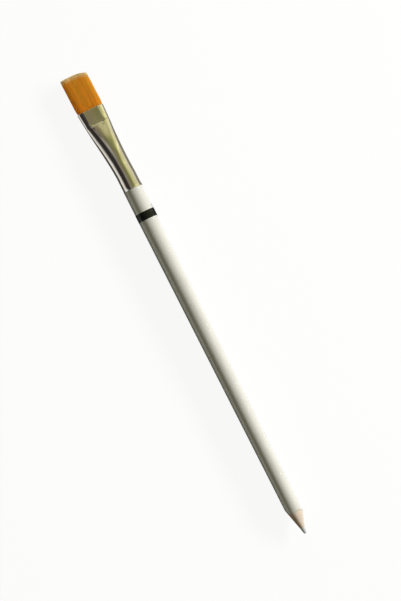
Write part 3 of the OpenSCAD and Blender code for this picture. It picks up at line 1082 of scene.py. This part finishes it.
class PENCIL_OT_glue(Operator):
    """Give the hidden glue round the tenon its finish"""

    bl_idname = "eraser_pencil.glue"
    bl_label = "Glue"
    bl_options = {"REGISTER", "UNDO"}

    def execute(self, context):
        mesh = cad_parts["tenon_glue"].data
        mesh.materials.clear()
        mesh.materials.append(plain_material("tenon_glue", settings("finish").glue, 0.5))
        return {"FINISHED"}


class PENCIL_OT_stage(Operator):
    """Set the floor, the reflected room, the lamp, the world and the camera"""

    bl_idname = "eraser_pencil.stage"
    bl_label = "Stage"
    bl_options = {"REGISTER", "UNDO"}

    # What the metal reflects of the room, round the pencil's axis: for the neck and the mouth,
    # for the tapering faces, and for their end at the crimp. Each stop is an angle from
    # straight above towards +Y in degrees, and a colour
    ROOM_FIRST, ROOM_LAST = -115, 96
    ROOM = (
        ((-115, (0.90, 0.89, 0.93)), (-74, (0.88, 0.86, 0.90)), (-66, (0.42, 0.41, 0.42)),
         (-60, (0.10, 0.09, 0.09)), (-52, (0.03, 0.025, 0.025)), (-24, (0.04, 0.035, 0.035)),
         (-18, (0.12, 0.11, 0.10)), (-12, (0.29, 0.27, 0.25)), (-4, (0.27, 0.25, 0.20)),
         (3, (0.24, 0.20, 0.145)), (8, (0.28, 0.25, 0.135)), (12, (0.23, 0.22, 0.10)),
         (22, (0.20, 0.20, 0.08)), (32, (0.31, 0.31, 0.13)), (42, (0.54, 0.53, 0.25)),
         (54, (0.75, 0.73, 0.40)), (70, (0.77, 0.73, 0.44)), (96, (0.70, 0.66, 0.46))),
        ((-115, (0.90, 0.89, 0.93)), (-66, (0.82, 0.82, 0.85)), (-58, (0.45, 0.45, 0.46)),
         (-50, (0.12, 0.12, 0.12)), (-42, (0.04, 0.035, 0.035)), (-24, (0.02, 0.015, 0.015)),
         (-19, (0.07, 0.06, 0.055)), (-15, (0.22, 0.20, 0.18)), (-11, (0.52, 0.49, 0.45)),
         (-7, (0.31, 0.29, 0.23)), (-2, (0.18, 0.17, 0.10)), (8, (0.21, 0.21, 0.09)),
         (19, (0.33, 0.33, 0.13)), (30, (0.50, 0.49, 0.21)), (42, (0.72, 0.70, 0.36)),
         (55, (0.90, 0.86, 0.50)), (70, (0.90, 0.84, 0.52)), (96, (0.70, 0.65, 0.45))),
        ((-115, (0.90, 0.89, 0.93)), (-60, (0.74, 0.73, 0.75)), (-47, (0.25, 0.24, 0.24)),
         (-35, (0.06, 0.05, 0.05)), (-22, (0.03, 0.025, 0.025)), (-14, (0.06, 0.05, 0.045)),
         (-10, (0.15, 0.13, 0.11)), (-5, (0.26, 0.22, 0.17)), (0, (0.28, 0.24, 0.15)),
         (5, (0.40, 0.36, 0.21)), (11, (0.56, 0.51, 0.29)), (18, (0.64, 0.60, 0.34)),
         (23, (0.55, 0.52, 0.29)), (29, (0.36, 0.34, 0.17)), (37, (0.46, 0.43, 0.25)),
         (44, (0.84, 0.80, 0.55)), (53, (1.00, 0.96, 0.75)), (65, (0.92, 0.86, 0.66)),
         (96, (0.70, 0.65, 0.50))))
    # Places along the room's card, in metres, and angles round it, in degrees: a gleam, and
    # how much brighter it is; a turn of the neck's bands; where the second and third of the
    # rooms take over, and how far the third lags by its angle
    MOUTH_GLEAM = ((-0.200, -0.167, -0.140), (40, 48), 0.8)
    NECK_TURN = ((-0.125, -0.075), (-42, -52), 7)
    TAPER_FROM, TAPER_TO = -0.20, -0.245
    CRIMP_FROM, CRIMP_TO = -0.315, -0.345
    CRIMP_LAG = ((-8, 2), 0.05)
    # The room's card round the pencil, and the colour and strength of its two end cards
    CARD_RADIUS, CARD_ENDS, CARD_STEPS = 0.75, (-0.65, 0.45), 64
    END_CARD = ((1.00, 0.93, 0.60), 0.5)
    # Painted reflected shade: dark sheets just over the floor, which only gloss sees, darken what
    # the pencil's lower sides reflect of the floor beside it: x and y from and to, colour
    REFLECTED_SHADE_STRIPS = (
        (-0.0600, 0.1400, -0.0165, -0.0020, (0.075, 0.072, 0.065)),
        (-0.0460, -0.0064, -0.0270, -0.0160, (0.20, 0.19, 0.17)),
        (-0.0460, -0.0064, 0.0030, 0.0420, (0.27, 0.25, 0.20)),
        (0.0010, 0.0064, 0.0030, 0.0300, (0.05, 0.05, 0.045)))
    STRIP_RISE = 0.00008  # over the floor
    WHITE = (1.0, 1.0, 1.0)
    FLOOR_HALF, FLOOR_PAINT, FLOOR_GLOW = 6.0, (0.92, 0.92, 0.92), 1.06
    LAMP_SIZE, LAMP_TINT, LAMP_AWAY = (0.7, 0.2), (1.0, 0.99, 0.965), 1.0
    SENSOR, CLIP = 36.0, (0.01, 20.0)

    def rectangle(self, name, x0, x1, y0, y1, z, material):
        points = [(x0, y0, z), (x1, y0, z), (x1, y1, z), (x0, y1, z)]
        return add_sheet(name, points, [(0, 1, 2, 3)], material)

    def floor(self):
        """A floor that looks paler than the light it gives back to the pencil."""
        stage = settings("stage")
        material = bpy.data.materials.new("floor")
        nodes = bare_nodes(material)
        seen = nodes.seen_by("Camera", "Glossy", "Transmission")
        lit = nodes.add("ShaderNodeBsdfDiffuse", {"Color": rgba(self.FLOOR_PAINT)})
        sockets = {"Color": rgba(self.WHITE), "Strength": self.FLOOR_GLOW}
        glow = nodes.add("ShaderNodeEmission", sockets)
        pale = nodes.add("ShaderNodeMixShader", {0: stage.floor_light, 1: lit, 2: glow})
        tint = rgba(self.WHITE, stage.floor_bounce)
        dim = nodes.add("ShaderNodeBsdfDiffuse", {"Color": tint})
        both = nodes.add("ShaderNodeMixShader", {0: seen, 1: dim, 2: pale})
        nodes.add("ShaderNodeOutputMaterial", {"Surface": both})
        half = self.FLOOR_HALF
        self.rectangle("floor", -half, half, -half, half, CAD_BOUNDS[0][2], material)

    def only_gloss(self, card):
        """Hides a glowing sheet from all but gloss."""
        card.visible_camera = False
        card.visible_diffuse = False
        card.visible_shadow = False
        card.visible_transmission = False

    def shine(self, nodes, tint, strength):
        """Fills a material's empty nodes with one glow."""
        glow = nodes.add("ShaderNodeEmission", {"Color": tint, "Strength": strength})
        nodes.add("ShaderNodeOutputMaterial", {"Surface": glow})

    def glow(self, name, tint, strength=1.0):
        material = bpy.data.materials.new(name)
        self.shine(bare_nodes(material), rgba(tint), strength)
        return material

    def room_material(self):
        """The room's light by its angle round the pencil and its place along it."""
        material = bpy.data.materials.new("room")
        nodes = bare_nodes(material)
        x, y, z = nodes.add("ShaderNodeTexCoord", output="Object").axes()
        turn = y.calc("ARCTAN2", z)
        places, turns, more = self.NECK_TURN
        late = x.ramp(*places) * turn.ramp(*map(math.radians, turns))
        first, last = math.radians(self.ROOM_FIRST), math.radians(self.ROOM_LAST)
        along = (turn + late * math.radians(more)).ramp(first, last)
        rooms = []
        for stops in self.ROOM:
            room = nodes.add("ShaderNodeValToRGB", {0: along})
            elements = room.socket.node.color_ramp.elements
            while len(elements) < len(stops):
                elements.new(0.5)
            for element, (degrees, tint) in zip(elements, stops):
                element.position = (degrees - self.ROOM_FIRST) / (self.ROOM_LAST - self.ROOM_FIRST)
                element.color = rgba(tint)
            rooms.append(room)
        tint = nodes.blend(x.ramp(self.TAPER_FROM, self.TAPER_TO), rooms[0], rooms[1])
        turns, lag = self.CRIMP_LAG
        lagging = x + turn.ramp(*map(math.radians, turns), 0.0, lag)
        tint = nodes.blend(lagging.ramp(self.CRIMP_FROM, self.CRIMP_TO), tint, rooms[2])
        (near, middle, far), turns, gain = self.MOUTH_GLEAM
        gleam = x.ramp(near, middle) * x.ramp(far, middle) * turn.ramp(*map(math.radians, turns))
        self.shine(nodes, tint, gleam * gain + 1.0)
        return material

    def cards(self):
        """The room round the pencil, with its two ends, and dark sheets over the floor that paint
        shade into its reflection.
        """
        radius, ends = self.CARD_RADIUS, self.CARD_ENDS
        angles = np.radians(np.linspace(self.ROOM_FIRST, self.ROOM_LAST, self.CARD_STEPS + 1))
        points = [(x, radius * math.sin(a), radius * math.cos(a)) for a in angles for x in ends]
        faces = [(2 * i, 2 * i + 1, 2 * i + 3, 2 * i + 2) for i in range(self.CARD_STEPS)]
        self.only_gloss(add_sheet("room", points, faces, self.room_material()))
        for index, x in enumerate(ends):
            points = [(x, y * radius, z * radius) for y, z in ((-1, 0), (1, 0), (1, 1), (-1, 1))]
            name = f"end_card_{index}"
            material = self.glow(name, *self.END_CARD)
            self.only_gloss(add_sheet(name, points, [(0, 1, 2, 3)], material))
        level = CAD_BOUNDS[0][2] + self.STRIP_RISE
        # Painted reflected shade: dark sheets just over the floor, seen only by gloss
        for index, (*sides, tint) in enumerate(self.REFLECTED_SHADE_STRIPS):
            name = f"strip_{index}"
            self.only_gloss(self.rectangle(name, *sides, level, self.glow(name, tint)))

    def lamp(self):
        stage = settings("stage")
        data = bpy.data.lights.new("key", "AREA")
        data.shape = "RECTANGLE"
        data.size, data.size_y = self.LAMP_SIZE
        data.energy = stage.key_power
        data.color = self.LAMP_TINT
        key = add_object("key", data)
        away, lean = self.LAMP_AWAY, stage.key_side
        key.location = (stage.camera_x, away * math.sin(lean), away * math.cos(lean))
        key.rotation_euler = (-lean, 0.0, 0.0)
        key.visible_glossy = False

    def world(self, scene):
        """A dim light all round, behind which the camera sees plain white."""
        world = bpy.data.worlds.new("room")
        nodes = bare_nodes(world)
        fill, white = rgba(settings("stage").fill), rgba(self.WHITE)
        room = nodes.add("ShaderNodeBackground", {"Color": fill, "Strength": 1.0})
        pale = nodes.add("ShaderNodeBackground", {"Color": white, "Strength": 1.0})
        seen = nodes.seen_by("Camera", "Transmission")
        both = nodes.add("ShaderNodeMixShader", {0: seen, 1: room, 2: pale})
        nodes.add("ShaderNodeOutputWorld", {"Surface": both})
        scene.world = world

    def camera(self, scene):
        stage = settings("stage")
        data = bpy.data.cameras.new("camera")
        data.lens = stage.lens
        data.sensor_width = self.SENSOR
        data.clip_start, data.clip_end = self.CLIP
        camera = add_object("camera", data)
        camera.location = (stage.camera_x, stage.camera_y, stage.camera_height)
        camera.rotation_euler = (0.0, 0.0, stage.camera_turn)
        scene.camera = camera

    def execute(self, context):
        self.floor()
        self.cards()
        self.lamp()
        self.world(context.scene)
        self.camera(context.scene)
        context.scene.view_settings.view_transform = "Standard"
        return {"FINISHED"}


class PENCIL_PT_panel(Panel):
    """Sizes, colours and building steps of the eraser pencil"""

    bl_idname = "PENCIL_PT_panel"
    bl_label = "Eraser Pencil"
    bl_space_type = "VIEW_3D"
    bl_region_type = "UI"
    bl_category = "Eraser Pencil"

    def draw(self, context):
        for step in STEPS:
            self.layout.operator(step.bl_idname)
        for name, group in GROUPS.items():
            box = self.layout.box()
            box.label(text=name.capitalize())
            for key in group.__annotations__:
                box.prop(settings(name), key)


STEPS = (
    PENCIL_OT_lacquer, PENCIL_OT_band, PENCIL_OT_casing, PENCIL_OT_core,
    PENCIL_OT_ferrule, PENCIL_OT_heel, PENCIL_OT_bristles, PENCIL_OT_glue, PENCIL_OT_stage)
CLASSES = tuple(GROUPS.values()) + STEPS + (PENCIL_PT_panel,)


def register():
    for cls in CLASSES:
        bpy.utils.register_class(cls)
    for name, group in GROUPS.items():
        setattr(bpy.types.Scene, "eraser_pencil_" + name, PointerProperty(type=group))


def unregister():
    for name in GROUPS:
        delattr(bpy.types.Scene, "eraser_pencil_" + name)
    for cls in reversed(CLASSES):
        bpy.utils.unregister_class(cls)


def main():
    register()
    for step in STEPS:
        group, name = step.bl_idname.split(".")
        getattr(getattr(bpy.ops, group), name)()


if __name__ == "__main__":
    main()
